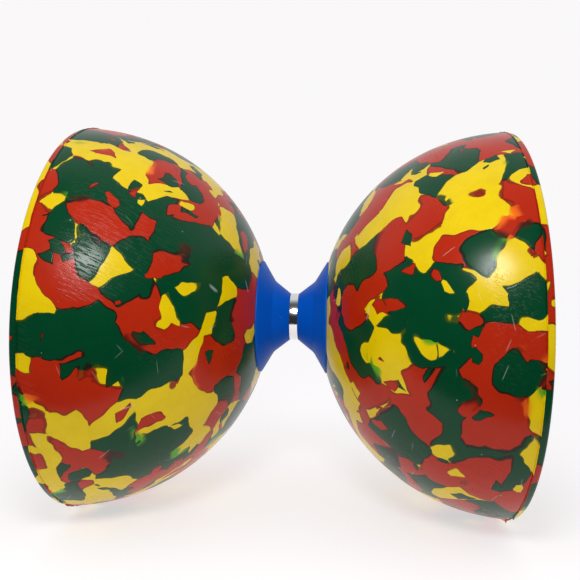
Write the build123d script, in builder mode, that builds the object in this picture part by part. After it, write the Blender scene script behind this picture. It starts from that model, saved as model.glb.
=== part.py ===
from build123d import *

import os

# Rubber-cup diabolo with a fixed steel axle, in millimetres.
#
# The spin axis is X and the origin is the middle of the axle collar, on which the string runs.
# From the middle outwards each side holds a plastic hub cone, a moulded rubber cup, a clamp plate,
# a flat washer and a self-locking nut with a nylon insert. A threaded rod carries the whole stack.
# Every piece is drawn for the +X side and the -X side is its mirror image.

# ---------------------------------------------------------------- driving dimensions
HALF_LENGTH = 58.25  # origin to a rim's end face
RIM_RADIUS = 52.6  # outside of the cup at its parting line

COLLAR_RADIUS = 6.6  # steel collar under the string
COLLAR_HALF_WIDTH = 1.2
KNUCKLE_X = 5.7  # where the hub cone turns steeper
KNUCKLE_RADIUS = 10.1
HUB_BACK_X = 9.5  # hub's back face, which the cup sits against
HUB_RADIUS = 15.8

FLOOR_THICKNESS = 7.0  # rubber floor squeezed between hub and clamp plate
RIM_WALL = 4.2
ROD_RADIUS = 2.95  # M6 thread at its major diameter
PLATE_THICKNESS = 3.2
WASHER_THICKNESS = 1.6
NUT_HEIGHT = 6.0
NUT_ACROSS_FLATS = 10.0
ROD_BEYOND_NUT = 2.4

# ---------------------------------------------------------------- fits and small features
SHAFT_CLEARANCE = 0.05  # radial, rod in collar and rod in nut
HOLE_CLEARANCE = 0.25  # radial, rod in plastic and in washers
SPIGOT_CLEARANCE = 0.1  # radial, spigots in the cup's centre hole

SLEEVE_RADIUS = 4.5  # collar's shoulders, which centre the hub cones
SLEEVE_REACH = 6.2
HUB_LAND = 0.4  # cylindrical edge at the hub's largest radius
SPIGOT_RADIUS = 7.5
SPIGOT_REACH = 4.6
CORE_INNER = 8.8  # relief moulded into the hub's back
CORE_OUTER = 12.4
CORE_DEPTH = 2.1
PEG_COUNT = 3  # drive pegs that bite the rubber
PEG_RADIUS = 1.5
PEG_CIRCLE = 10.6
PEG_REACH = 2.4
PEG_CLEARANCE = 0.1

SEAT_RADIUS = 15.9  # flat of the cup under the hub
LINE_SETBACK = 1.85  # parting line, back from the rim's end face
LINE_HEIGHT = 0.25
LINE_HALF_WIDTH = 0.25
RIM_ROUND = 0.8
FLOOR_RADIUS = 18.6  # flat of the cup under the clamp plate

PLATE_RADIUS = 18.0
PLATE_RIM = 1.6  # plate thickness at its edge
PLATE_BOSS_RADIUS = 11.0
PLATE_SLOPE_RADIUS = 15.5
PLATE_SPIGOT = 1.5
POCKET_COUNT = 6
POCKET_RADIUS = 1.7
POCKET_CIRCLE = 13.2
POCKET_DEPTH = 0.9
WASHER_RADIUS = 9.0

INSERT_RADIUS = 3.9
INSERT_THICKNESS = 1.5
HEX_HEIGHT = 4.3
NUT_COLLAR_RADIUS = 4.5
CRIMP_RADIUS = 3.6
CHAMFER_SLOPE = 0.577  # 30 degree bevel on the nut's corners
ROD_CHAMFER = 0.6

# ---------------------------------------------------------------- stack positions along X
floor_x = HUB_BACK_X + FLOOR_THICKNESS
plate_x = floor_x + PLATE_THICKNESS
washer_x = plate_x + WASHER_THICKNESS
nut_x = washer_x + NUT_HEIGHT
rod_end = nut_x + ROD_BEYOND_NUT
line_x = HALF_LENGTH - LINE_SETBACK
nut_bore = ROD_RADIUS + SHAFT_CLEARANCE

# Facing +X, with local x along +Y and local y along +Z, for features set round the axis.
hub_back = Plane(origin=(HUB_BACK_X - CORE_DEPTH, 0, 0), x_dir=(0, 1, 0), z_dir=(1, 0, 0))
cup_seat = hub_back.offset(CORE_DEPTH)
plate_face = hub_back.offset(plate_x - HUB_BACK_X + CORE_DEPTH)


def ring(inner_radius, outer_radius, start, end):
    """Add a plain ring between two stations on the X axis to the part being built."""
    with BuildSketch(Plane.XY) as section:
        with BuildLine():
            Polyline(
                (start, inner_radius),
                (end, inner_radius),
                (end, outer_radius),
                (start, outer_radius),
                close=True,
            )
        make_face()
    revolve(section.sketch, axis=Axis.X)


# ---------------------------------------------------------------- axle
with BuildPart() as axle_rod:
    with BuildSketch(Plane.XY):
        with BuildLine():
            Polyline(
                (-rod_end, 0),
                (-rod_end, ROD_RADIUS - ROD_CHAMFER),
                (ROD_CHAMFER - rod_end, ROD_RADIUS),
                (rod_end - ROD_CHAMFER, ROD_RADIUS),
                (rod_end, ROD_RADIUS - ROD_CHAMFER),
                (rod_end, 0),
                close=True,
            )
        make_face()
    revolve(axis=Axis.X)

with BuildPart() as axle_collar:
    ring(nut_bore, COLLAR_RADIUS, -COLLAR_HALF_WIDTH, COLLAR_HALF_WIDTH)
    ring(nut_bore, SLEEVE_RADIUS, -SLEEVE_REACH, SLEEVE_REACH)
    collar_rim = axle_collar.edges().filter_by(GeomType.CIRCLE).group_by(SortBy.RADIUS)[-1]
    chamfer(collar_rim, 0.15)

# ---------------------------------------------------------------- hub cone
with BuildPart() as hub_cone:
    with BuildSketch(Plane.XY):
        with BuildLine():
            Polyline(
                (COLLAR_HALF_WIDTH, SLEEVE_RADIUS + SHAFT_CLEARANCE),
                (COLLAR_HALF_WIDTH, COLLAR_RADIUS),
                (KNUCKLE_X, KNUCKLE_RADIUS),
                (HUB_BACK_X - HUB_LAND, HUB_RADIUS),
                (HUB_BACK_X, HUB_RADIUS),
                (HUB_BACK_X, SPIGOT_RADIUS),
                (HUB_BACK_X + SPIGOT_REACH, SPIGOT_RADIUS),
                (HUB_BACK_X + SPIGOT_REACH, ROD_RADIUS + HOLE_CLEARANCE),
                (SLEEVE_REACH + SHAFT_CLEARANCE, ROD_RADIUS + HOLE_CLEARANCE),
                (SLEEVE_REACH + SHAFT_CLEARANCE, SLEEVE_RADIUS + SHAFT_CLEARANCE),
                close=True,
            )
        make_face()
    revolve(axis=Axis.X)
    hub_rim = hub_cone.edges().filter_by(GeomType.CIRCLE).group_by(SortBy.RADIUS)[-1]
    fillet(hub_rim, 0.18)
    knuckle = [e for e in hub_cone.edges() if abs(e.center().X - KNUCKLE_X) < 0.01]
    fillet(knuckle, 1.2)
    with BuildSketch(cup_seat):
        Circle(CORE_OUTER)
        Circle(CORE_INNER, mode=Mode.SUBTRACT)
    extrude(amount=-CORE_DEPTH, mode=Mode.SUBTRACT)
    with BuildSketch(hub_back):
        with PolarLocations(PEG_CIRCLE, PEG_COUNT):
            Circle(PEG_RADIUS)
    extrude(amount=CORE_DEPTH + PEG_REACH)
    peg_tips = hub_cone.edges().filter_by(GeomType.CIRCLE).filter_by(
        lambda e: abs(e.radius - PEG_RADIUS) < 0.01 and e.center().X > HUB_BACK_X + 1
    )
    chamfer(peg_tips, 0.4)

# ---------------------------------------------------------------- rubber cup
with BuildPart() as cup:
    with BuildSketch(Plane.XY):
        with BuildLine():
            seat = Line((HUB_BACK_X, SPIGOT_RADIUS + SPIGOT_CLEARANCE), (HUB_BACK_X, SEAT_RADIUS))
            outside = Bezier(
                seat @ 1, (14.6, 32.6), (30.3, 50.5), (line_x - LINE_HALF_WIDTH, RIM_RADIUS)
            )
            parting_line = Polyline(
                outside @ 1,
                (line_x, RIM_RADIUS + LINE_HEIGHT),
                (line_x + LINE_HALF_WIDTH, RIM_RADIUS - 0.05),
                (HALF_LENGTH - RIM_ROUND, RIM_RADIUS - 0.1),
            )
            outer_round = TangentArc(
                parting_line @ 1,
                (HALF_LENGTH, RIM_RADIUS - 0.1 - RIM_ROUND),
                tangent=(1, 0),
            )
            end_face = Line(outer_round @ 1, (HALF_LENGTH, RIM_RADIUS - RIM_WALL + RIM_ROUND))
            inner_round = TangentArc(
                end_face @ 1,
                (HALF_LENGTH - RIM_ROUND, RIM_RADIUS - RIM_WALL),
                tangent=(0, -1),
            )
            inside = Bezier(
                inner_round @ 1, (38.8, 48.1), (19.8, 30.5), (floor_x, FLOOR_RADIUS)
            )
            floor = Line(inside @ 1, (floor_x, SPIGOT_RADIUS + SPIGOT_CLEARANCE))
            Line(floor @ 1, seat @ 0)
        make_face()
    revolve(axis=Axis.X)
    with BuildSketch(cup_seat):
        with PolarLocations(PEG_CIRCLE, PEG_COUNT):
            Circle(PEG_RADIUS + PEG_CLEARANCE)
    extrude(amount=PEG_REACH + PEG_CLEARANCE, mode=Mode.SUBTRACT)

# ---------------------------------------------------------------- clamp plate
with BuildPart() as clamp_plate:
    with BuildSketch(Plane.XY):
        with BuildLine():
            Polyline(
                (floor_x - PLATE_SPIGOT, ROD_RADIUS + HOLE_CLEARANCE),
                (plate_x, ROD_RADIUS + HOLE_CLEARANCE),
                (plate_x, PLATE_BOSS_RADIUS),
                (floor_x + PLATE_RIM + 0.4, PLATE_SLOPE_RADIUS),
                (floor_x + PLATE_RIM, PLATE_RADIUS),
                (floor_x, PLATE_RADIUS),
                (floor_x, SPIGOT_RADIUS),
                (floor_x - PLATE_SPIGOT, SPIGOT_RADIUS),
                close=True,
            )
        make_face()
    revolve(axis=Axis.X)
    plate_rim = clamp_plate.edges().filter_by(GeomType.CIRCLE).group_by(SortBy.RADIUS)[-1]
    fillet(plate_rim.sort_by(Axis.X)[-1], 0.7)
    with BuildSketch(plate_face):
        with PolarLocations(POCKET_CIRCLE, POCKET_COUNT):
            Circle(POCKET_RADIUS)
    extrude(amount=-(PLATE_THICKNESS - PLATE_RIM + POCKET_DEPTH), mode=Mode.SUBTRACT)

# ---------------------------------------------------------------- flat washer
with BuildPart() as flat_washer:
    ring(ROD_RADIUS + HOLE_CLEARANCE, WASHER_RADIUS, plate_x, washer_x)
    washer_rim = flat_washer.edges().filter_by(GeomType.CIRCLE).group_by(SortBy.RADIUS)[-1]
    chamfer(washer_rim.sort_by(Axis.X)[-1], 0.25)

# ---------------------------------------------------------------- self-locking nut
nut_seat = hub_back.offset(washer_x - HUB_BACK_X + CORE_DEPTH)
corner_radius = NUT_ACROSS_FLATS / 2 / 0.8660254
corner_drop = (corner_radius - NUT_ACROSS_FLATS / 2 + 0.15) * CHAMFER_SLOPE
insert_x = nut_x - 0.45 - INSERT_THICKNESS

with BuildPart() as lock_nut:
    with BuildSketch(nut_seat):
        RegularPolygon(corner_radius, 6)
    extrude(amount=HEX_HEIGHT)
    with BuildSketch(Plane.XY):
        with BuildLine():
            Polyline(
                (washer_x, 0),
                (washer_x, NUT_ACROSS_FLATS / 2 - 0.15),
                (washer_x + corner_drop, corner_radius),
                (washer_x + HEX_HEIGHT - corner_drop, corner_radius),
                (washer_x + HEX_HEIGHT, NUT_ACROSS_FLATS / 2 - 0.15),
                (washer_x + HEX_HEIGHT, 0),
                close=True,
            )
        make_face()
    revolve(axis=Axis.X, mode=Mode.INTERSECT)
    ring(nut_bore, NUT_COLLAR_RADIUS, washer_x + HEX_HEIGHT - 0.2, nut_x)
    collar_edge = lock_nut.faces().sort_by(Axis.X)[-1].outer_wire().edges()
    fillet(collar_edge, 0.6)
    with BuildSketch(nut_seat):
        Circle(nut_bore)
    extrude(amount=NUT_HEIGHT, mode=Mode.SUBTRACT)
    with BuildSketch(nut_seat.offset(insert_x - washer_x)):
        Circle(INSERT_RADIUS)
    extrude(amount=INSERT_THICKNESS, mode=Mode.SUBTRACT)
    with BuildSketch(nut_seat.offset(insert_x - washer_x + INSERT_THICKNESS)):
        Circle(CRIMP_RADIUS)
    extrude(amount=NUT_HEIGHT, mode=Mode.SUBTRACT)

with BuildPart() as nut_insert:
    ring(nut_bore, INSERT_RADIUS, insert_x, insert_x + INSERT_THICKNESS)

# ---------------------------------------------------------------- both sides, written out
os.makedirs("parts", exist_ok=True)


def write(solid, name):
    """Label one finished piece and write it as its own STEP file."""
    solid.label = name
    export_step(solid, f"parts/{name}.step")
    print(f"{name:24s} {solid.volume:10.1f} mm3")


write(axle_rod.part, "axle_rod")
write(axle_collar.part, "axle_collar")

paired = {
    "hub_cone": hub_cone,
    "rubber_cup": cup,
    "clamp_plate": clamp_plate,
    "flat_washer": flat_washer,
    "lock_nut": lock_nut,
    "nut_insert": nut_insert,
}
for name, piece in paired.items():
    write(piece.part, f"right_{name}")
    write(piece.part.mirror(Plane.YZ), f"left_{name}")
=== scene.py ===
"""A fixed-axle diabolo: two marbled rubber cups on blue hub cones, with a polished collar between them.

Every length is in metres. The spin axis is X, and the origin is the middle of the collar.
"""

import math

import bmesh
import bpy
from bpy.props import FloatProperty, FloatVectorProperty, PointerProperty
from mathutils import Matrix, Vector, noise
from mathutils.geometry import interpolate_bezier


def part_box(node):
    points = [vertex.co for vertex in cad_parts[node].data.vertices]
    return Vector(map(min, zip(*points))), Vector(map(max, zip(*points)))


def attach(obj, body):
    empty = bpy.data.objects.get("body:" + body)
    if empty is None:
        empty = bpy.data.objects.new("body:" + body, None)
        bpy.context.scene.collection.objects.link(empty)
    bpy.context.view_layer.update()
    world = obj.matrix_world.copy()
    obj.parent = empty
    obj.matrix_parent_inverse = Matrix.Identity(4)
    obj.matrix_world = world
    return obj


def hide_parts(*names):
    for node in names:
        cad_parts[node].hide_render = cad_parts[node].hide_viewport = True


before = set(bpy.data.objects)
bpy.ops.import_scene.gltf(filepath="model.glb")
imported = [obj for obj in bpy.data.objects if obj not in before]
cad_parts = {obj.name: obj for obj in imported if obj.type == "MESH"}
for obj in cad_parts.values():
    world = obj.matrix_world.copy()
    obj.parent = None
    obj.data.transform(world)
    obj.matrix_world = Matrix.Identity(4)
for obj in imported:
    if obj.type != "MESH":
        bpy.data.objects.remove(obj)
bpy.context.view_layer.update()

bl_info = {
    "name": "Marbled Diabolo",
    "version": (1, 0, 0),
    "blender": (4, 5, 0),
    "location": "View3D > Sidebar > Diabolo",
    "description": "Builds a fixed-axle diabolo piece by piece round its mechanical frame",
    "category": "Add Mesh",
}

MM = 0.001
AXIS = Vector((1, 0, 0))
SIDES = {"right": 1, "left": -1}
FULL_TURN = 2 * math.pi
HALF = (0.5, 0.5, 0.5)

# Where each piece lies, read from the frame: its inner and outer station along X, and its radius.


def station(node):
    """The nearest and farthest station along X of a right-hand node, and its largest radius."""
    low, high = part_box(node)
    return low.x, high.x, high.z


CUP_SEAT, CUP_END, CUP_RADIUS = station("right_rubber_cup")
HUB_TIP, HUB_SPIGOT_END, HUB_RADIUS = station("right_hub_cone")
PLATE_SPIGOT_END = station("right_clamp_plate")[0]
WASHER_BACK, WASHER_FACE, WASHER_RADIUS = station("right_flat_washer")
NUT_BACK, NUT_END, NUT_FLAT = station("right_lock_nut")
INSERT_BACK, INSERT_END, INSERT_RADIUS = station("right_nut_insert")
ROD_END, ROD_RADIUS = station("axle_rod")[1:]
SLEEVE_END, COLLAR_RADIUS = station("axle_collar")[1:]
CUP_FLOOR = PLATE_SPIGOT_END + 1.5 * MM  # the clamp plate's spigot reaches this far into the cup

# ---------------------------------------------------------------- sizes of the pieces

CUP_BORE = 7.6 * MM
CUP_WALL = 4.2 * MM  # at the rim
CUP_THROAT = 15.9 * MM  # the cup's outside radius where it meets the hub
CUP_FLOOR_RADIUS = 18.6 * MM
OUTSIDE_PULLS = (14.6 * MM, 32.6 * MM), (30.3 * MM, 50.5 * MM)  # what bends the cup's outside curve
INSIDE_PULLS = (38.8 * MM, 48.1 * MM), (19.8 * MM, 30.5 * MM)  # and its inside curve, from the rim in
RIM_ROUND = 0.7 * MM
LINE_SETBACK = 1.85 * MM  # parting line, back from the rim's end face
LINE_PROUD = 0.25 * MM  # how far the parting line makes the cup wider than its rim
LINE_REACH = 0.8 * MM  # flash stays this near the parting line
TORN_REACH = 0.35 * MM
# Scraps of flash left on each rim: the angle round the axis in degrees, the height, and the spread
# in degrees.
TORN_FLASH = {
    "right": ((-118.1, 0.6 * MM, 1.0), (-108.3, 0.65 * MM, 1.0), (-171.0, 0.2 * MM, 2.5)),
    "left": (
        (-168.7, 0.35 * MM, 1.2), (-163.0, 0.45 * MM, 1.0), (-159.5, 0.3 * MM, 0.8), (-146.0, 0.3 * MM, 1.5),
    ),
}

CONE_BORE = 3.2 * MM
CONE_SPIGOT = 7.5 * MM
CONE_SOCKET = 4.55 * MM  # takes the collar's sleeve
KNUCKLE = 5.7 * MM, 10.1 * MM  # where the shallow cone meets the steep one
COLLAR_SLEEVE = 4.5 * MM
COLLAR_ROUND = 0.16 * MM
ROD_CLEARANCE = 0.05 * MM

THREAD_PITCH = 1 * MM
THREAD_DEPTH = 0.61 * THREAD_PITCH
ROD_BEVEL = 0.7 * MM
ROD_CREST = ROD_RADIUS - 0.02 * MM
ROD_CENTRE = 1.2 * MM  # the flat left in the middle of each end
WASHER_CLEARANCE = 0.25 * MM
HEX_HEIGHT = 4.3 * MM
HEX_BEVEL = 0.15 * MM
HEX_BEVEL_ANGLE = math.radians(30)
NUT_COLLAR = 4.5 * MM
NUT_CRIMP = 3.6 * MM
NUT_ENTRY = 0.4 * MM
NUT_THREAD_CLEARANCE = 0.04 * MM

WELD = 0.001 * MM  # points nearer than this become one
SLIVER_AREA = 1e-14
SHARP_EDGE = math.radians(32)

# ---------------------------------------------------------------- looks of the rubber

GREEN_SHARE = 0.362
RED_SHARE = 0.318
CRUMB_SHARE = 0.1  # share of small chips that show
CRUMB_SIZE = 0.42  # beside the chips
# Which part of the rubber slab each cup is cut from.
MARBLING_START = {"left": (5.0806, -2.914, 5.2281), "right": (3.6231, 0.9576, 3.5997)}
RIM_JUMP = (0.037, 0.021, 0.013)  # how far off in the slab the rim band is cut
CRUMB_JUMP = (0.5, 0.2, 0.7)
SLOW_FLOW, SLOW_REACH = 62.0, 13 * MM  # bends per metre, and how far they push
QUICK_FLOW, QUICK_REACH = 230.0, 2.4 * MM
BLEED_REACH = 2.2 * MM
SEAM_CORE, SEAM_EDGE = 0.2 * MM, 0.42 * MM
RUB_LINE = (0.866, 0.221, -0.448)  # which way the rubbed streaks run
RUB_STRETCH = 0.87  # how much of the pattern's change along them is lost
WORN_SPOT = (-0.0415, -0.047, 0.014)

# What two stocks make where they run into each other, and along a crisp seam.
DEEP_BROWN = (0.05, 0.012, 0.006)
LEAF_GREEN = (0.09, 0.34, 0.01)
WARM_ORANGE = (0.78, 0.13, 0.008)
SEAM_BLACK = (0.012, 0.012, 0.006)
SEAM_GREEN = (0.006, 0.05, 0.01)
SEAM_RED = (0.22, 0.012, 0.004)
CHALKY = (0.62, 0.62, 0.58)
STAIN = (0.86, 0.8, 0.78)

# ---------------------------------------------------------------- looks of the other pieces

PALE_BLUE = (0.3, 0.45, 0.75)
STEEL_DULL, STEEL_BRIGHT, STEEL_SCRATCH = (0.78, 0.78, 0.8), (0.92, 0.92, 0.93), (0.45, 0.45, 0.46)
ZINC_DULL, ZINC_BRIGHT, THREAD_ROOT_DARK = (0.5, 0.52, 0.56), (0.72, 0.73, 0.74), (0.09, 0.085, 0.08)
NYLON_DULL, NYLON_BRIGHT = (0.62, 0.64, 0.66), (0.82, 0.83, 0.84)
NYLON_DEPTH = 0.4 * MM  # how far light spreads inside it

# ---------------------------------------------------------------- stage

FLOOR_SPAN = 8.0
FLOOR_FRONT = 0.075  # the floor's front edge, this far before the spin axis
FLOOR_DROP = 0.2 * MM  # keeps the floor clear of the rims' flash
FLOOR_GLOW = 0.6  # the floor lights itself this much, so shadows on it stay faint
FLOOR_SMUDGE = (0.8, 0.8, 0.8)
ROOM_LIGHT = (0.78, 0.78, 0.8)
ROOM_FRONT = (0.28, 0.28, 0.3)
BACKDROP = (0.955, 0.94, 0.947)
BACKDROP_MIRRORED = (0.75, 0.75, 0.76)
CEILING_MIRRORED = (0.08, 0.085, 0.08)
PERSON_MIRRORED = (0.02, 0.02, 0.022)
KEY_PLACE, KEY_SIZE, KEY_WATTS = (0.0, -0.188, 0.108), 0.056, 0.25
CAMERA_PLACE = Vector((13.5, -200, 11.7)) * MM
CAMERA_TURN = (2.46, 2.14, 1.04)  # yaw, pitch and roll in degrees
CAMERA_SHIFT = (-0.0397, -0.069)
SENSOR_WIDTH = 36


# ---------------------------------------------------------------- settings


class RubberSettings(bpy.types.PropertyGroup):
    """Sizes and colours of the marbled rubber cups."""

    green: FloatVectorProperty(
        name="Green stock", description="Colour of the green rubber chips",
        default=(0.0, 0.051, 0.017), subtype="COLOR", min=0, max=1,
    )
    red: FloatVectorProperty(
        name="Red stock", description="Colour of the red rubber chips",
        default=(0.42, 0.019, 0.003), subtype="COLOR", min=0, max=1,
    )
    yellow: FloatVectorProperty(
        name="Yellow stock", description="Colour of the yellow rubber chips",
        default=(0.74, 0.535, 0.001), subtype="COLOR", min=0, max=1,
    )
    chip_size: FloatProperty(
        name="Chip size", description="Usual distance between the middles of two chips",
        default=8.2 * MM, unit="LENGTH", subtype="DISTANCE", min=MM, precision=5,
    )
    flash_height: FloatProperty(
        name="Flash height", description="How far the mould's parting line stands proud",
        default=0.24 * MM, unit="LENGTH", subtype="DISTANCE", min=0, precision=5,
    )


class HubSettings(bpy.types.PropertyGroup):
    """Colour and softness of the moulded plastic pieces."""

    blue: FloatVectorProperty(
        name="Plastic", description="Colour of the hub cones and clamp plates",
        default=(0.0, 0.096, 0.54), subtype="COLOR", min=0, max=1,
    )
    knuckle_round: FloatProperty(
        name="Knuckle rounding", description="Radius of the soft edge between the two cones",
        default=1.6 * MM, unit="LENGTH", subtype="DISTANCE", min=0, precision=5,
    )


class StageSettings(bpy.types.PropertyGroup):
    """The floor and the camera."""

    floor: FloatVectorProperty(
        name="Floor", description="Colour of the plain floor",
        default=(0.985, 0.97, 0.977), subtype="COLOR", min=0, max=1,
    )
    lens: FloatProperty(
        name="Lens", description="Focal length of the camera, in millimetres",
        default=43.24, min=1, unit="CAMERA",
    )


# ---------------------------------------------------------------- shader helpers


def add_node(tree, kind, inputs=(), **settings):
    """Add a shader node, fill its inputs with values or other nodes' outputs, and return its outputs."""
    made = tree.nodes.new("ShaderNode" + kind)
    for name, value in settings.items():
        setattr(made, name, value)
    for name, value in dict(inputs).items():
        if isinstance(value, bpy.types.NodeSocket):
            tree.links.new(value, made.inputs[name])
        else:
            made.inputs[name].default_value = value
    return made.outputs


def maths(tree, operation, *values, clamp=False):
    """A Math node on one to three values."""
    return add_node(tree, "Math", enumerate(values), operation=operation, use_clamp=clamp)[0]


def vector_maths(tree, operation, *values):
    """A Vector Math node on one or two vectors."""
    return add_node(tree, "VectorMath", enumerate(values), operation=operation)[0]


def times(tree, vector, factor):
    """A vector scaled by a number."""
    return add_node(tree, "VectorMath", {0: vector, "Scale": factor}, operation="SCALE")[0]


def span(tree, operation, first, second):
    """A length, a distance or a dot product, taken by a Vector Math node."""
    return add_node(tree, "VectorMath", {0: first, 1: second}, operation=operation)["Value"]


def axis_distance(tree, y, z):
    """Distance from the X axis."""
    square = maths(tree, "ADD", maths(tree, "POWER", y, 2.0), maths(tree, "POWER", z, 2.0))
    return maths(tree, "SQRT", square)


def both(tree, *values):
    """The product of two or three masks."""
    product = values[0]
    for value in values[1:]:
        product = maths(tree, "MULTIPLY", product, value)
    return product


def noisy(tree, where, size, detail=2.0, roughness=0.5):
    """Noise whose waves are about as wide as size."""
    scale = maths(tree, "DIVIDE", 1.0, size)
    ports = {"Vector": where, "Scale": scale, "Detail": detail, "Roughness": roughness}
    return add_node(tree, "TexNoise", ports)[0]


def cells(tree, place, feature="F1"):
    """Voronoi cells about one unit across."""
    return add_node(tree, "TexVoronoi", {"Vector": place, "Scale": 1.0}, feature=feature)


def lumpy(tree, height, distance, strength):
    """The surface's direction once a height has been pressed into it."""
    return add_node(tree, "Bump", {"Height": height, "Distance": distance, "Strength": strength})[0]


def ramp(tree, value, low, high, start=0.0, end=1.0):
    """A soft step from start to end while the value goes from low to high."""
    ends = {1: low, 2: high, 3: start, 4: end}
    return add_node(tree, "MapRange", {0: value, **ends}, interpolation_type="SMOOTHSTEP")[0]


def mix(tree, factor, first, second, blend="MIX"):
    """Mix two colours."""
    ports = {0: factor, 6: first, 7: second}
    return add_node(tree, "Mix", ports, data_type="RGBA", blend_type=blend, clamp_factor=True)[2]


def opaque(colour):
    """A colour with full alpha, as colour sockets want it."""
    return (*colour, 1)


def new_group(name, inputs, outputs):
    """A shader node group with named sockets; returns its tree, its input values and its output node."""
    tree = bpy.data.node_groups.new(name, "ShaderNodeTree")
    for label, kind, default in inputs:
        socket = tree.interface.new_socket(name=label, in_out="INPUT", socket_type="NodeSocket" + kind)
        if default is not None:
            socket.default_value = default
    for label, kind in outputs:
        tree.interface.new_socket(name=label, in_out="OUTPUT", socket_type="NodeSocket" + kind)
    return tree, tree.nodes.new("NodeGroupInput").outputs, tree.nodes.new("NodeGroupOutput")


def use_group(tree, group, **inputs):
    """Place a shader group in a material; input names have underscores for spaces."""
    made = tree.nodes.new("ShaderNodeGroup")
    made.node_tree = group
    for name, value in inputs.items():
        socket = made.inputs[name.replace("_", " ")]
        if isinstance(value, bpy.types.NodeSocket):
            tree.links.new(value, socket)
        else:
            socket.default_value = value
    return made.outputs


def new_material(name):
    """A node material; returns it, its tree, its Principled shader and the piece's own coordinates."""
    material = bpy.data.materials.new(name)
    material.use_nodes = True
    tree = material.node_tree
    shader = tree.nodes["Principled BSDF"]
    where = tree.nodes.new("ShaderNodeTexCoord").outputs["Object"]
    return material, tree, shader, where


def connect(tree, shader, **inputs):
    """Feed a shader's sockets from nodes, or set them to plain values."""
    for name, value in inputs.items():
        socket = shader.inputs[name.replace("_", " ")]
        if isinstance(value, bpy.types.NodeSocket):
            tree.links.new(value, socket)
        else:
            socket.default_value = value


# ---------------------------------------------------------------- shared shader groups


def pressed_chips_group():
    """Chips of rubber pressed together: which stock each is cut from, and how near its edge a point is.

    Stock is 0 for green, 1 for red and 3 for yellow, so the sum of two neighbours names their pair.
    """
    tree, given, out = new_group(
        "Pressed Chips",
        [("Vector", "Vector", None), ("Chip Size", "Float", 0.008)],
        [("Stock", "Float"), ("Next Stock", "Float"), ("Tint", "Float"), ("Gap", "Float")],
    )
    place = times(tree, given["Vector"], maths(tree, "DIVIDE", 1.0, given["Chip Size"]))
    near, far = cells(tree, place), cells(tree, place, "F2")
    for cell, label in ((near, "Stock"), (far, "Next Stock")):
        pick, tint, _ = add_node(tree, "SeparateColor", {0: cell["Color"]})
        not_green = maths(tree, "GREATER_THAN", pick, GREEN_SHARE)
        yellow = maths(tree, "GREATER_THAN", pick, GREEN_SHARE + RED_SHARE)
        stock = maths(tree, "MULTIPLY_ADD", yellow, 2.0, not_green)
        tree.links.new(stock, out.inputs[label])
        if cell is near:
            tree.links.new(tint, out.inputs["Tint"])
    gap = maths(tree, "SUBTRACT", far["Distance"], near["Distance"])
    tree.links.new(maths(tree, "MULTIPLY", gap, given["Chip Size"]), out.inputs["Gap"])
    return tree


def hair_strokes_group():
    """Short straight scratches, each lying its own way."""
    tree, given, out = new_group(
        "Hair Strokes",
        [("Vector", "Vector", None), ("Spacing", "Float", 0.004), ("Share", "Float", 0.4)],
        [("Stroke", "Float")],
    )
    place = times(tree, given["Vector"], maths(tree, "DIVIDE", 1.0, given["Spacing"]))
    cell = cells(tree, place)
    pick, depth, _ = add_node(tree, "SeparateColor", {0: cell["Color"]})
    lie = vector_maths(tree, "NORMALIZE", vector_maths(tree, "SUBTRACT", cell["Color"], HALF))
    offset = vector_maths(tree, "SUBTRACT", place, cell["Position"])
    beside = span(tree, "DOT_PRODUCT", offset, lie)
    hair = ramp(tree, maths(tree, "ABSOLUTE", beside), 0.004, 0.022, 1.0, 0.0)
    short = ramp(tree, cell["Distance"], 0.18, 0.36, 1.0, 0.0)
    chosen = maths(tree, "LESS_THAN", pick, given["Share"])
    pressure = maths(tree, "MULTIPLY_ADD", depth, 0.7, 0.3)
    tree.links.new(both(tree, hair, short, chosen, pressure), out.inputs[0])
    return tree


def rubbed_patches_group():
    """Patches of close, broken streaks, where the skin has been rubbed against something."""
    tree, given, out = new_group(
        "Rubbed Patches",
        [
            ("Vector", "Vector", None),
            ("Streak Width", "Float", 0.0005),
            ("Patch Size", "Float", 0.02),
            ("Worst Spot", "Vector", None),
            ("Spot Size", "Float", 0.015),
        ],
        [("Height", "Float"), ("Mask", "Float")],
    )
    forward = span(tree, "DOT_PRODUCT", given["Vector"], RUB_LINE)
    shrunk = times(tree, RUB_LINE, maths(tree, "MULTIPLY", forward, -RUB_STRETCH))
    squeezed = vector_maths(tree, "ADD", given["Vector"], shrunk)
    streak = noisy(tree, squeezed, given["Streak Width"], roughness=0.6)
    patch = noisy(tree, given["Vector"], given["Patch Size"])
    away = span(tree, "DISTANCE", given["Vector"], given["Worst Spot"])
    spot = ramp(tree, maths(tree, "DIVIDE", away, given["Spot Size"]), 0.35, 1.0, 0.22, 0.0)
    tree.links.new(ramp(tree, streak, 0.5, 0.64), out.inputs["Height"])
    tree.links.new(ramp(tree, maths(tree, "ADD", patch, spot), 0.54, 0.66), out.inputs["Mask"])
    return tree


def dust_specks_group():
    """Pinhead specks, scattered thinly: light dust, and dark dots of painted shade standing for pits."""
    tree, given, out = new_group(
        "Dust Specks",
        [("Vector", "Vector", None), ("Spacing", "Float", 0.003), ("Share", "Float", 0.2)],
        [("Speck", "Float")],
    )
    place = times(tree, given["Vector"], maths(tree, "DIVIDE", 1.0, given["Spacing"]))
    cell = cells(tree, place)
    pick, size, _ = add_node(tree, "SeparateColor", {0: cell["Color"]})
    chosen = maths(tree, "LESS_THAN", pick, given["Share"])
    reach = maths(tree, "MULTIPLY_ADD", size, 0.045, 0.02)
    dot = maths(tree, "LESS_THAN", cell["Distance"], reach)
    tree.links.new(both(tree, chosen, dot), out.inputs[0])
    return tree


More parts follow.
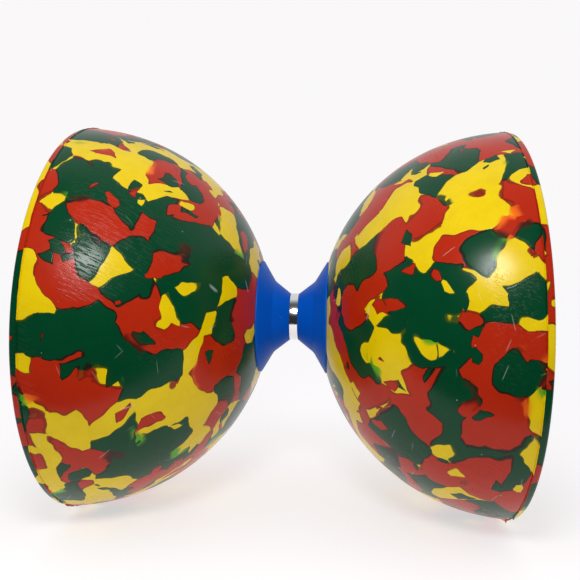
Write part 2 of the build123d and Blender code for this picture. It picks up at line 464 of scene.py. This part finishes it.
def moulded_skin_group():
    """The faint unevenness of a moulded surface: a slow ripple and a fine grain."""
    tree, given, out = new_group(
        "Moulded Skin",
        [("Vector", "Vector", None), ("Ripple Size", "Float", 0.008), ("Grain Size", "Float", 0.0003)],
        [("Height", "Float"), ("Patchiness", "Float")],
    )
    ripple = noisy(tree, given["Vector"], given["Ripple Size"])
    grain = noisy(tree, given["Vector"], given["Grain Size"], detail=3.0, roughness=0.65)
    tree.links.new(maths(tree, "MULTIPLY_ADD", grain, 0.12, ripple), out.inputs["Height"])
    tree.links.new(ripple, out.inputs["Patchiness"])
    return tree


def turned_rings_group():
    """Tool marks round the X axis, as a lathe leaves them."""
    tree, given, out = new_group(
        "Turned Rings",
        [("Vector", "Vector", None), ("Ring Pitch", "Float", 0.00012)],
        [("Height", "Float")],
    )
    x, y, z = add_node(tree, "SeparateXYZ", {0: given["Vector"]})
    along = add_node(tree, "CombineXYZ", {0: x, 1: axis_distance(tree, y, z), 2: 0.0})[0]
    tree.links.new(noisy(tree, along, given["Ring Pitch"]), out.inputs[0])
    return tree


# ---------------------------------------------------------------- materials


def marbled_rubber(settings, groups):
    """Chips of green, red and yellow rubber pressed and cured together, with a satin skin."""
    material, tree, shader, where = new_material("cured_rubber")

    # The rim band is cut from another part of the slab, so the marbling jumps at the parting line.
    x, _, _ = add_node(tree, "SeparateXYZ", {0: where})
    beyond = maths(tree, "GREATER_THAN", maths(tree, "ABSOLUTE", x), CUP_END - LINE_SETBACK)
    jump = times(tree, RIM_JUMP, beyond)
    right_hand = maths(tree, "GREATER_THAN", x, 0.0)
    left_start, right_start = (Vector(MARBLING_START[side]) for side in ("left", "right"))
    start = vector_maths(tree, "ADD", times(tree, right_start - left_start, right_hand), left_start)
    slab = vector_maths(tree, "ADD", vector_maths(tree, "ADD", where, jump), start)

    # Two sizes of flow bend the chips' edges.
    slow = add_node(tree, "TexNoise", {"Vector": slab, "Scale": SLOW_FLOW, "Detail": 0.5})["Color"]
    quick = add_node(tree, "TexNoise", {"Vector": slab, "Scale": QUICK_FLOW, "Detail": 1.0})["Color"]
    flow = times(tree, vector_maths(tree, "SUBTRACT", slow, HALF), SLOW_REACH)
    crinkle = times(tree, vector_maths(tree, "SUBTRACT", quick, HALF), QUICK_REACH)
    bent = vector_maths(tree, "ADD", vector_maths(tree, "ADD", slab, flow), crinkle)

    chips_group = groups["Pressed Chips"]
    large = use_group(tree, chips_group, Vector=bent, Chip_Size=settings.chip_size)
    moved = vector_maths(tree, "ADD", bent, CRUMB_JUMP)
    small = use_group(tree, chips_group, Vector=moved, Chip_Size=settings.chip_size * CRUMB_SIZE)
    crumb = maths(tree, "GREATER_THAN", small["Tint"], 1 - CRUMB_SHARE)

    def choose(first, second):
        """The first value outside a crumb and the second inside it."""
        return add_node(tree, "Mix", {0: crumb, 2: first, 3: second}, data_type="FLOAT")[0]

    stock = choose(large["Stock"], small["Stock"])
    beside = choose(large["Next Stock"], large["Stock"])
    gap = choose(large["Gap"], small["Gap"])

    def by_stock(value, scale, *colours):
        """Pick a colour by a stock number, or by the sum of a pair's."""
        picker = tree.nodes.new("ShaderNodeValToRGB")
        picker.color_ramp.interpolation = "CONSTANT"
        stops = picker.color_ramp.elements
        while len(stops) < len(colours):
            stops.new(0.5)
        for stop, (start, colour) in zip(stops, colours):
            stop.position, stop.color = start, opaque(colour)
        tree.links.new(maths(tree, "MULTIPLY", value, scale), picker.inputs[0])
        return picker.outputs[0]

    plain = by_stock(stock, 1 / 3, (0.0, settings.green), (0.2, settings.red), (0.8, settings.yellow))
    pair = maths(tree, "ADD", stock, beside)
    blended = by_stock(pair, 0.25, (0.0, DEEP_BROWN), (0.5, LEAF_GREEN), (0.9, WARM_ORANGE))
    seam = by_stock(pair, 0.25, (0.0, SEAM_BLACK), (0.5, SEAM_GREEN), (0.9, SEAM_RED))

    apart = maths(tree, "GREATER_THAN", maths(tree, "ABSOLUTE", maths(tree, "SUBTRACT", stock, beside)), 0.5)
    smear = add_node(tree, "TexNoise", {"Vector": slab, "Scale": 95.0, "Detail": 1.0})[0]
    smeared = ramp(tree, smear, 0.63, 0.7)
    bleed = both(tree, apart, smeared, ramp(tree, gap, 0.0, BLEED_REACH, 1.0, 0.0))
    seam_mask = ramp(tree, gap, SEAM_CORE, SEAM_EDGE, 1.0, 0.0)
    line = both(tree, apart, seam_mask, maths(tree, "SUBTRACT", 1.0, smeared))

    skin = use_group(tree, groups["Moulded Skin"], Vector=where, Ripple_Size=9 * MM, Grain_Size=0.35 * MM)
    scratch = use_group(tree, groups["Hair Strokes"], Vector=where, Spacing=6 * MM, Share=0.32)[0]
    streak, rubbed = use_group(
        tree, groups["Rubbed Patches"], Vector=where, Streak_Width=0.45 * MM, Patch_Size=22 * MM,
        Worst_Spot=WORN_SPOT, Spot_Size=15 * MM,
    )
    speck = use_group(tree, groups["Dust Specks"], Vector=where, Spacing=3.2 * MM, Share=0.13)[0]

    colour = mix(tree, bleed, plain, blended)
    colour = mix(tree, maths(tree, "MULTIPLY", line, 0.95), colour, seam)
    cloud = add_node(tree, "TexNoise", {"Vector": where, "Scale": 190.0, "Detail": 4.0, "Roughness": 0.7})[0]
    colour = mix(tree, ramp(tree, cloud, 0.35, 0.75, 0.0, 0.5), colour, opaque(STAIN), "MULTIPLY")
    # Painted shade: dark dots stand for pinholes, the shade of pits that the mesh doesn't have.
    pinhole_shade = use_group(tree, groups["Dust Specks"], Vector=slab, Spacing=2.3 * MM, Share=0.1)[0]
    colour = mix(tree, maths(tree, "MULTIPLY", pinhole_shade, 0.5), colour, opaque(SEAM_BLACK))
    marks = maths(tree, "MAXIMUM", both(tree, scratch, 0.4), both(tree, speck, 0.45))
    colour = mix(tree, marks, colour, opaque(CHALKY))

    scuff = both(tree, streak, rubbed)
    roughness = maths(tree, "MULTIPLY_ADD", skin["Patchiness"], 0.14, 0.16)
    roughness = maths(tree, "MULTIPLY_ADD", scuff, 0.3, roughness)
    relief = maths(tree, "MULTIPLY_ADD", scratch, -0.5, skin["Height"])
    relief = maths(tree, "MULTIPLY_ADD", scuff, -0.45, relief)
    relief = maths(tree, "MULTIPLY_ADD", line, -0.25, relief)
    bump = lumpy(tree, relief, 0.1 * MM, 0.55)
    connect(tree, shader, Base_Color=colour, Roughness=roughness, Normal=bump)
    connect(tree, shader, IOR=1.5, Specular_IOR_Level=0.21)
    return material


def blue_plastic(settings, groups):
    """Satin moulded plastic in one strong blue."""
    material, tree, shader, where = new_material("moulded_blue")
    skin = use_group(tree, groups["Moulded Skin"], Vector=where, Ripple_Size=5 * MM, Grain_Size=0.22 * MM)
    rings = use_group(tree, groups["Turned Rings"], Vector=where, Ring_Pitch=0.9 * MM)[0]
    scratch = use_group(tree, groups["Hair Strokes"], Vector=where, Spacing=3.5 * MM, Share=0.3)[0]
    speck = use_group(tree, groups["Dust Specks"], Vector=where, Spacing=1.8 * MM, Share=0.16)[0]
    deep = tuple(c * 0.8 for c in settings.blue)
    colour = mix(tree, skin["Patchiness"], opaque(deep), opaque(settings.blue))
    marks = maths(tree, "MAXIMUM", both(tree, scratch, 0.2), both(tree, speck, 0.5))
    colour = mix(tree, marks, colour, opaque(PALE_BLUE))
    roughness = maths(tree, "MULTIPLY_ADD", skin["Patchiness"], 0.12, 0.36)
    relief = maths(tree, "MULTIPLY_ADD", rings, 0.3, skin["Height"])
    relief = maths(tree, "MULTIPLY_ADD", scratch, -0.3, relief)
    bump = lumpy(tree, relief, 0.06 * MM, 0.4)
    connect(tree, shader, Base_Color=colour, Roughness=roughness, Normal=bump)
    connect(tree, shader, IOR=1.49, Specular_IOR_Level=0.1)
    return material


def polished_collar(groups):
    """Turned steel polished by the string, with fine rings and a little grey wear."""
    material, tree, shader, where = new_material("polished_steel")
    rings = use_group(tree, groups["Turned Rings"], Vector=where, Ring_Pitch=0.09 * MM)[0]
    scratch = use_group(tree, groups["Hair Strokes"], Vector=where, Spacing=1.6 * MM, Share=0.5)[0]
    skin = use_group(tree, groups["Moulded Skin"], Vector=where, Ripple_Size=2.5 * MM, Grain_Size=0.2 * MM)
    colour = mix(tree, rings, opaque(STEEL_DULL), opaque(STEEL_BRIGHT))
    colour = mix(tree, maths(tree, "MULTIPLY", scratch, 0.4), colour, opaque(STEEL_SCRATCH))
    roughness = maths(tree, "MULTIPLY_ADD", skin["Patchiness"], 0.1, 0.1)
    relief = maths(tree, "MULTIPLY_ADD", skin["Height"], 0.4, rings)
    bump = lumpy(tree, relief, 0.02 * MM, 0.35)
    connect(tree, shader, Base_Color=colour, Roughness=roughness, Normal=bump, Metallic=1.0)
    return material


def zinc_steel(groups):
    """Bright zinc plate on steel, cloudy and a little dull in the thread's roots."""
    material, tree, shader, where = new_material("bright_zinc")
    skin = use_group(tree, groups["Moulded Skin"], Vector=where, Ripple_Size=1.6 * MM, Grain_Size=0.12 * MM)
    scratch = use_group(tree, groups["Hair Strokes"], Vector=where, Spacing=2 * MM, Share=0.5)[0]
    colour = mix(tree, skin["Patchiness"], opaque(ZINC_DULL), opaque(ZINC_BRIGHT))
    _, y, z = add_node(tree, "SeparateXYZ", {0: where})
    radius = axis_distance(tree, y, z)
    # Towards the thread's roots the colour goes dark and the surface rougher.
    root = ramp(tree, radius, ROD_RADIUS - 0.6 * MM, ROD_RADIUS - 0.2 * MM, 0.65, 0.0)
    colour = mix(tree, root, colour, opaque(THREAD_ROOT_DARK))
    roughness = maths(tree, "MULTIPLY_ADD", skin["Patchiness"], 0.25, 0.2)
    roughness = maths(tree, "MULTIPLY_ADD", root, 0.2, roughness)
    relief = maths(tree, "MULTIPLY_ADD", scratch, -0.4, skin["Height"])
    bump = lumpy(tree, relief, 0.03 * MM, 0.4)
    connect(tree, shader, Base_Color=colour, Roughness=roughness, Normal=bump, Metallic=1.0)
    return material


def natural_nylon(groups):
    """The milky nylon of a locking nut's insert."""
    material, tree, shader, where = new_material("natural_nylon")
    skin = use_group(tree, groups["Moulded Skin"], Vector=where, Ripple_Size=1.2 * MM, Grain_Size=0.15 * MM)
    colour = mix(tree, skin["Patchiness"], opaque(NYLON_DULL), opaque(NYLON_BRIGHT))
    roughness = maths(tree, "MULTIPLY_ADD", skin["Patchiness"], 0.15, 0.38)
    bump = lumpy(tree, skin["Height"], 0.03 * MM, 0.4)
    connect(tree, shader, Base_Color=colour, Roughness=roughness, Normal=bump, Subsurface_Weight=0.15)
    connect(tree, shader, Subsurface_Radius=(NYLON_DEPTH,) * 3)
    return material


def studio_floor(settings, groups):
    """Plain pale card that glows by itself: painted light, so shadows on it stay faint."""
    material, tree, shader, where = new_material("studio_floor")
    skin = use_group(tree, groups["Moulded Skin"], Vector=where, Ripple_Size=300 * MM, Grain_Size=2 * MM)
    # Painted shade: the card is a little darker near the middle, against the key lamp's pool of light there.
    nearer = tuple(c * 0.985 for c in settings.floor)
    away = ramp(tree, span(tree, "DISTANCE", where, (0, 0, 0)), 0.1, 0.9)
    colour = mix(tree, away, opaque(nearer), opaque(settings.floor))
    colour = mix(tree, maths(tree, "MULTIPLY", skin["Patchiness"], 0.03), colour, opaque(FLOOR_SMUDGE))
    # The card's own colour is halved, and a glow of painted light makes up the rest.
    dimmer = mix(tree, 1.0, colour, opaque(HALF), "MULTIPLY")
    connect(tree, shader, Base_Color=dimmer, Roughness=0.9, Specular_IOR_Level=0.1)
    connect(tree, shader, Emission_Color=opaque(settings.floor), Emission_Strength=FLOOR_GLOW)
    return material


# ---------------------------------------------------------------- modelling helpers


def softened(corners, steps=6):
    """Turn (x, radius, rounding) corners into an outline whose rounded corners are arcs."""
    outline = []
    count = len(corners)
    for i, corner in enumerate(corners):
        here = Vector(corner[:2])
        rounding = corner[2] if len(corner) > 2 else 0
        if not rounding:
            outline.append(here)
            continue
        to_last = (Vector(corners[i - 1][:2]) - here).normalized()
        to_next = (Vector(corners[(i + 1) % count][:2]) - here).normalized()
        turn = math.pi - to_last.angle(to_next)
        reach = rounding * math.tan(turn / 2)
        pull = reach - rounding * 4 / 3 * math.tan(turn / 4)
        start, end = here + to_last * reach, here + to_next * reach
        arc = interpolate_bezier(start, here + to_last * pull, here + to_next * pull, end, steps)
        outline += [Vector(p[:2]) for p in arc]
    return outline


def turned(outline, around=192):
    """A mesh of the outline's (x, radius) points, spun once round the X axis."""
    bm = bmesh.new()
    verts = [bm.verts.new((p[0], 0, p[1])) for p in outline]
    edges = [bm.edges.new((a, b)) for a, b in zip(verts, verts[1:] + verts[:1])]
    bmesh.ops.spin(
        bm, geom=verts + edges, cent=(0, 0, 0), axis=AXIS, dvec=(0, 0, 0), angle=FULL_TURN,
        steps=around, use_merge=True, use_duplicate=False,
    )
    bmesh.ops.remove_doubles(bm, verts=bm.verts, dist=WELD)
    slivers = [f for f in bm.faces if f.calc_area() < SLIVER_AREA]
    bmesh.ops.delete(bm, geom=slivers, context="FACES")
    bmesh.ops.recalc_face_normals(bm, faces=bm.faces)
    return bm


def polar(vert):
    """A vertex's distance from the X axis, and its angle from +Y towards +Z."""
    return math.hypot(vert.co.y, vert.co.z), math.atan2(vert.co.z, vert.co.y)


def set_radius(vert, radius):
    """Move a vertex straight out from the X axis to a radius."""
    now = math.hypot(vert.co.y, vert.co.z)
    if now > 0:
        vert.co.y *= radius / now
        vert.co.z *= radius / now


def mirrored(bm):
    """The same mesh for the left side."""
    copy = bm.copy()
    bmesh.ops.scale(copy, vec=(-1, 1, 1), verts=copy.verts)
    bmesh.ops.recalc_face_normals(copy, faces=copy.faces)
    return copy


def finish_piece(bm, name, material, body, node):
    """Make the mesh an object that rides on its body and stands for its CAD node."""
    mesh = bpy.data.meshes.new(name)
    bm.to_mesh(mesh)
    bm.free()
    mesh.polygons.foreach_set("use_smooth", [True] * len(mesh.polygons))
    mesh.set_sharp_from_angle(angle=SHARP_EDGE)
    mesh.materials.append(material)
    piece = bpy.data.objects.new(name, mesh)
    bpy.context.scene.collection.objects.link(piece)
    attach(piece, body)
    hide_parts(node)
    return piece


def helix_depth(x, angle):
    """Depth of a right-hand thread below its crest at a station and an angle round the X axis."""
    phase = (x / THREAD_PITCH - angle / FULL_TURN) % 1.0
    from_root = abs(phase - 0.5) * 2  # 0 in the root's middle, 1 on the crest's
    return THREAD_DEPTH * min(1.0, max(0.0, (0.875 - from_root) / 0.625))


def finish_pair(make, name, material, body, node):
    """Finish a piece for each side; make gives the right-hand mesh of a side, and the left's is mirrored."""
    for side in SIDES:
        bm = make(side)
        if side == "left":
            bm = mirrored(bm)
        finish_piece(bm, f"{side}_{name}", material, body.format(side), f"{side}_{node}")


def shaders():
    """The shared shader groups, by name, built once."""
    makers = {
        "Pressed Chips": pressed_chips_group,
        "Hair Strokes": hair_strokes_group,
        "Rubbed Patches": rubbed_patches_group,
        "Dust Specks": dust_specks_group,
        "Moulded Skin": moulded_skin_group,
        "Turned Rings": turned_rings_group,
    }
    return {name: bpy.data.node_groups.get(name) or make() for name, make in makers.items()}


def finish_named(name, make):
    """A material by name, made on first use."""
    return bpy.data.materials.get(name) or make()


# ---------------------------------------------------------------- operators, one for each kind of piece


class DIABOLO_OT_rubber_cups(bpy.types.Operator):
    """Spin the two rubber cups, with their parting lines and the flash the mould left"""

    bl_idname = "diabolo.rubber_cups"
    bl_label = "Rubber Cups"

    def execute(self, context):
        settings = context.scene.diabolo_rubber
        material = finish_named("cured_rubber", lambda: marbled_rubber(settings, shaders()))
        line = CUP_END - LINE_SETBACK
        wide = CUP_RADIUS - LINE_PROUD
        mouth = wide - CUP_WALL
        outside_ends = (CUP_SEAT, CUP_THROAT), (line - 0.5 * MM, wide)
        outside = interpolate_bezier(outside_ends[0], *OUTSIDE_PULLS, outside_ends[1], 90)
        inside_ends = (CUP_END - 0.8 * MM, mouth), (CUP_FLOOR, CUP_FLOOR_RADIUS)
        inside = interpolate_bezier(inside_ends[0], *INSIDE_PULLS, inside_ends[1], 60)
        flash = [
            (line - 0.3 * MM, wide - 0.02 * MM),
            (line - 0.16 * MM, wide - 0.14 * MM),
            (line - 0.07 * MM, wide - 0.02 * MM),
            (line, wide + settings.flash_height),
            (line + 0.08 * MM, wide - 0.05 * MM),
            (line + 0.25 * MM, wide - 0.1 * MM),
        ]
        rim = softened([
            (line + 0.3 * MM, wide - 0.1 * MM),
            (CUP_END, wide - 0.1 * MM, RIM_ROUND),
            (CUP_END, mouth, RIM_ROUND),
            (CUP_END - 1.5 * MM, mouth),
        ])[:-1]
        outline = [(CUP_SEAT, CUP_BORE), *outside, *flash, *rim, *inside[1:], (CUP_FLOOR, CUP_BORE)]
        blank = turned([Vector(p[:2]) for p in outline], around=256)

        def with_flash(side):
            bm = blank.copy()
            for vert in bm.verts:
                beside = vert.co.x - line
                radius, angle = polar(vert)
                if abs(beside) > LINE_REACH or radius < wide - LINE_REACH / 2:
                    continue
                round_rim = Vector((math.cos(angle), math.sin(angle), SIDES[side]))
                tip = max(0.0, radius - wide) if abs(beside) < 0.02 * MM else 0
                ragged = 0.7 * noise.noise(round_rim * 9) + 0.9 * noise.noise(round_rim * 41)
                torn = sum(
                    height * math.exp(-((math.degrees(angle) - place) / spread) ** 2)
                    for place, height, spread in TORN_FLASH[side]
                )
                torn *= math.exp(-((beside / TORN_REACH) ** 2))
                set_radius(vert, radius + tip * ragged + torn)
            return bm

        finish_pair(with_flash, "marbled_cup", material, "diabolo_body", "rubber_cup")
        blank.free()
        return {"FINISHED"}


class DIABOLO_OT_hub_cones(bpy.types.Operator):
    """Turn the two blue hub cones, each a shallow cone and a steeper one with a soft edge between"""

    bl_idname = "diabolo.hub_cones"
    bl_label = "Hub Cones"

    def execute(self, context):
        settings = context.scene.diabolo_hub
        material = finish_named("moulded_blue", lambda: blue_plastic(settings, shaders()))
        socket_end = SLEEVE_END + 0.05 * MM
        outline = softened([
            (HUB_TIP, CONE_SOCKET),
            (HUB_TIP, COLLAR_RADIUS, 0.12 * MM),
            (*KNUCKLE, settings.knuckle_round * 2),
            (CUP_SEAT - 0.4 * MM, HUB_RADIUS, 0.25 * MM),
            (CUP_SEAT, HUB_RADIUS, 0.1 * MM),
            (CUP_SEAT, CONE_SPIGOT),
            (HUB_SPIGOT_END, CONE_SPIGOT, 0.3 * MM),
            (HUB_SPIGOT_END, CONE_BORE),
            (socket_end, CONE_BORE),
            (socket_end, CONE_SOCKET),
        ])
        finish_pair(
            lambda side: turned(outline, around=224),
            "cone", material, "diabolo_body", "hub_cone",
        )
        return {"FINISHED"}


class DIABOLO_OT_axle_collar(bpy.types.Operator):
    """Turn the polished collar that the string runs on, with its shoulders inside the cones"""

    bl_idname = "diabolo.axle_collar"
    bl_label = "Axle Collar"

    def execute(self, context):
        material = finish_named("polished_steel", lambda: polished_collar(shaders()))
        half, bore = HUB_TIP - 0.01 * MM, ROD_RADIUS + ROD_CLEARANCE
        right = [
            (half, COLLAR_RADIUS, COLLAR_ROUND),
            (half, COLLAR_SLEEVE),
            (SLEEVE_END, COLLAR_SLEEVE, 0.3 * MM),
            (SLEEVE_END, bore),
        ]
        left = [(-corner[0], *corner[1:]) for corner in reversed(right)]
        outline = softened(left + right)
        bm = turned(outline, around=256)
        finish_piece(bm, "collar", material, "diabolo_body", "axle_collar")
        return {"FINISHED"}


class DIABOLO_OT_axle_rod(bpy.types.Operator):
    """Turn the axle rod and cut a right-hand thread on both its ends"""

    bl_idname = "diabolo.axle_rod"
    bl_label = "Axle Rod"

    def execute(self, context):
        material = finish_named("bright_zinc", lambda: zinc_steel(shaders()))
        thread_start = PLATE_SPIGOT_END
        step = THREAD_PITCH / 12
        rings = int((ROD_END - thread_start) / step)
        right = [(ROD_END - step * i, ROD_CREST) for i in reversed(range(rings + 1))]
        right += [(ROD_END, ROD_CENTRE), (ROD_END, 0)]
        left = [(-x, radius) for x, radius in reversed(right)]
        bm = turned([Vector(p) for p in left + right], around=96)
        for vert in bm.verts:
            radius, angle = polar(vert)
            if radius <= ROD_CENTRE + 0.01 * MM:
                continue
            x = vert.co.x
            runout = min(1.0, max(0.0, (abs(x) - thread_start) / THREAD_PITCH))
            depth = runout * helix_depth(x, angle)
            end_bevel = ROD_RADIUS - ROD_BEVEL + (ROD_END - abs(x))
            set_radius(vert, min(ROD_CREST - depth, end_bevel))
        finish_piece(bm, "threaded_rod", material, "diabolo_body", "axle_rod")
        return {"FINISHED"}


class DIABOLO_OT_clamp_plates(bpy.types.Operator):
    """Mould the two clamp plates, each a disc with a raised boss and six round pockets"""

    bl_idname = "diabolo.clamp_plates"
    bl_label = "Clamp Plates"

    def execute(self, context):
        settings = context.scene.diabolo_hub
        material = finish_named("moulded_blue", lambda: blue_plastic(settings, shaders()))
        for side in SIDES:
            node = f"{side}_clamp_plate"
            bm = bmesh.new()
            bm.from_mesh(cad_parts[node].data)
            bmesh.ops.remove_doubles(bm, verts=bm.verts, dist=2 * WELD)
            finish_piece(bm, f"{side}_plate", material, "diabolo_body", node)
        return {"FINISHED"}


class DIABOLO_OT_flat_washers(bpy.types.Operator):
    """Stamp the two flat washers, rolled over on one face and sharp on the other"""

    bl_idname = "diabolo.flat_washers"
    bl_label = "Flat Washers"

    def execute(self, context):
        material = finish_named("bright_zinc", lambda: zinc_steel(shaders()))
        bore = ROD_RADIUS + WASHER_CLEARANCE
        outline = softened([
            (WASHER_BACK, bore, 0.1 * MM), (WASHER_BACK, WASHER_RADIUS, 0.1 * MM),
            (WASHER_FACE, WASHER_RADIUS, 0.45 * MM), (WASHER_FACE, bore, 0.3 * MM),
        ])
        finish_pair(
            lambda side: turned(outline, around=160),
            "washer_disc", material, "{}_washer", "flat_washer",
        )
        return {"FINISHED"}


class DIABOLO_OT_lock_nuts(bpy.types.Operator):
    """Press the two locking nuts: six flats, beveled corners, a collar and a threaded bore"""

    bl_idname = "diabolo.lock_nuts"
    bl_label = "Lock Nuts"

    def execute(self, context):
        material = finish_named("bright_zinc", lambda: zinc_steel(shaders()))
        hex_end = NUT_BACK + HEX_HEIGHT
        sixth = math.pi / 6
        blank = NUT_FLAT / math.cos(sixth)
        bevel_start = NUT_FLAT - HEX_BEVEL
        step = THREAD_PITCH / 10
        thread = [(INSERT_BACK - step * i, ROD_RADIUS) for i in range(int((INSERT_BACK - NUT_BACK) / step))]
        outer = softened([
            (NUT_BACK, bevel_start, HEX_BEVEL), (NUT_BACK + 0.5 * MM, blank),
            (hex_end - 0.5 * MM, blank), (hex_end, bevel_start, HEX_BEVEL),
            (hex_end, NUT_COLLAR, 0.25 * MM), (NUT_END, NUT_COLLAR, 0.8 * MM),
            (NUT_END, NUT_CRIMP, 0.2 * MM), (INSERT_END, NUT_CRIMP),
            (INSERT_END, INSERT_RADIUS), (INSERT_BACK, INSERT_RADIUS),
        ])
        outline = [(NUT_BACK, 3.5 * MM), *outer, *thread]

        def pressed_nut(side):
            bm = turned([Vector(p) for p in outline], around=144)
            for vert in bm.verts:
                radius, angle = polar(vert)
                if radius > blank - 0.01 * MM:
                    off_flat = (angle - math.pi / 2 + sixth) % (2 * sixth) - sixth
                    flat_radius = NUT_FLAT / math.cos(off_flat)
                    drop = (flat_radius - bevel_start) * math.tan(HEX_BEVEL_ANGLE)
                    near_back = vert.co.x < (NUT_BACK + hex_end) / 2
                    vert.co.x = NUT_BACK + drop if near_back else hex_end - drop
                    set_radius(vert, flat_radius)
                elif abs(radius - ROD_RADIUS) < 0.01 * MM:
                    entry = ROD_RADIUS + NUT_ENTRY - (vert.co.x - NUT_BACK)
                    depth = helix_depth(SIDES[side] * vert.co.x, angle)
                    set_radius(vert, max(ROD_RADIUS + NUT_THREAD_CLEARANCE - depth, entry))
            return bm

        finish_pair(pressed_nut, "hex_nut", material, "{}_nut", "lock_nut")
        return {"FINISHED"}


class DIABOLO_OT_nut_inserts(bpy.types.Operator):
    """Mould the nylon rings that grip the thread inside the nuts"""

    bl_idname = "diabolo.nut_inserts"
    bl_label = "Nut Inserts"

    def execute(self, context):
        material = finish_named("natural_nylon", lambda: natural_nylon(shaders()))
        bore, rounding = ROD_RADIUS + ROD_CLEARANCE, 0.2 * MM
        outline = softened([
            (INSERT_BACK, bore, rounding), (INSERT_BACK, INSERT_RADIUS), (INSERT_END, INSERT_RADIUS),
            (INSERT_END, bore, rounding),
        ])
        finish_pair(
            lambda side: turned(outline, around=128),
            "nylon_ring", material, "{}_nut", "nut_insert",
        )
        return {"FINISHED"}


class DIABOLO_OT_stage(bpy.types.Operator):
    """Lay the pale floor, hang the lamp, light the room and set the camera"""

    bl_idname = "diabolo.stage"
    bl_label = "Stage"

    def execute(self, context):
        scene = context.scene
        settings = scene.diabolo_stage
        bm = bmesh.new()
        bmesh.ops.create_grid(bm, x_segments=1, y_segments=1, size=FLOOR_SPAN / 2)
        middle = (0, FLOOR_SPAN / 2 - FLOOR_FRONT, -CUP_RADIUS - FLOOR_DROP)
        bmesh.ops.translate(bm, vec=middle, verts=bm.verts)
        mesh = bpy.data.meshes.new("studio_floor")
        bm.to_mesh(mesh)
        bm.free()
        mesh.materials.append(studio_floor(settings, shaders()))
        floor = bpy.data.objects.new("studio_floor", mesh)
        scene.collection.objects.link(floor)

        data = bpy.data.lights.new("key", "AREA")
        data.shape, data.size, data.energy = "DISK", KEY_SIZE, KEY_WATTS
        lamp = bpy.data.objects.new("key", data)
        lamp.location = KEY_PLACE
        lamp.rotation_euler = (-Vector(KEY_PLACE)).to_track_quat("-Z", "Y").to_euler()
        scene.collection.objects.link(lamp)

        studio_world(scene)
        data = bpy.data.cameras.new("camera")
        data.sensor_width, data.lens = SENSOR_WIDTH, settings.lens
        data.shift_x, data.shift_y = CAMERA_SHIFT
        camera = bpy.data.objects.new("camera", data)
        yaw, pitch, roll = (math.radians(a) for a in CAMERA_TURN)
        camera.matrix_world = (
            Matrix.Translation(CAMERA_PLACE)
            @ Matrix.Rotation(yaw, 4, "Z")
            @ Matrix.Rotation(math.radians(90) + pitch, 4, "X")
            @ Matrix.Rotation(roll, 4, "Z")
        )
        scene.collection.objects.link(camera)
        scene.camera = camera
        scene.view_settings.view_transform = "Standard"
        return {"FINISHED"}


def studio_world(scene):
    """A pale room all round, darker in front where a person stands, before a plain white backdrop."""
    world = bpy.data.worlds.new("studio")
    world.use_nodes = True
    tree = world.node_tree
    scene.world = world
    direction = tree.nodes.new("ShaderNodeTexCoord").outputs["Generated"]
    _, y, z = add_node(tree, "SeparateXYZ", {0: direction})
    front = ramp(tree, y, 0.25, -0.45)
    level = ramp(tree, z, 0.62, 0.4)
    person = maths(tree, "MULTIPLY", front, level)
    room = mix(tree, person, opaque(ROOM_LIGHT), opaque(ROOM_FRONT))
    mirrored_room = mix(tree, front, opaque(BACKDROP_MIRRORED), opaque(CEILING_MIRRORED))
    mirrored_room = mix(tree, person, mirrored_room, opaque(PERSON_MIRRORED))
    path = add_node(tree, "LightPath")
    colour = mix(tree, path["Is Glossy Ray"], room, mirrored_room)
    colour = mix(tree, path["Is Camera Ray"], colour, opaque(BACKDROP))
    tree.links.new(colour, tree.nodes["Background"].inputs["Color"])


# ---------------------------------------------------------------- panel and registration


class DIABOLO_PT_sidebar(bpy.types.Panel):
    """Buttons that build the diabolo, and its settings"""

    bl_label = "Diabolo"
    bl_idname = "DIABOLO_PT_sidebar"
    bl_space_type = "VIEW_3D"
    bl_region_type = "UI"
    bl_category = "Diabolo"

    def draw(self, context):
        for group in (context.scene.diabolo_rubber, context.scene.diabolo_hub, context.scene.diabolo_stage):
            box = self.layout.box()
            for name in group.bl_rna.properties.keys():
                if name not in {"rna_type", "name"}:
                    box.prop(group, name)
        for operator in OPERATORS:
            self.layout.operator(operator.bl_idname)


SETTINGS = {
    "diabolo_rubber": RubberSettings,
    "diabolo_hub": HubSettings,
    "diabolo_stage": StageSettings,
}
OPERATORS = (
    DIABOLO_OT_rubber_cups,
    DIABOLO_OT_hub_cones,
    DIABOLO_OT_axle_collar,
    DIABOLO_OT_axle_rod,
    DIABOLO_OT_clamp_plates,
    DIABOLO_OT_flat_washers,
    DIABOLO_OT_lock_nuts,
    DIABOLO_OT_nut_inserts,
    DIABOLO_OT_stage,
)


def register():
    for cls in (*SETTINGS.values(), *OPERATORS, DIABOLO_PT_sidebar):
        bpy.utils.register_class(cls)
    for name, group in SETTINGS.items():
        setattr(bpy.types.Scene, name, PointerProperty(type=group))


def unregister():
    for name in SETTINGS:
        delattr(bpy.types.Scene, name)
    for cls in (DIABOLO_PT_sidebar, *reversed(OPERATORS), *reversed(SETTINGS.values())):
        bpy.utils.unregister_class(cls)


def main():
    """Build every piece in order."""
    register()
    for operator in OPERATORS:
        _, name = operator.bl_idname.split(".")
        getattr(bpy.ops.diabolo, name)()


if __name__ == "__main__":
    main()
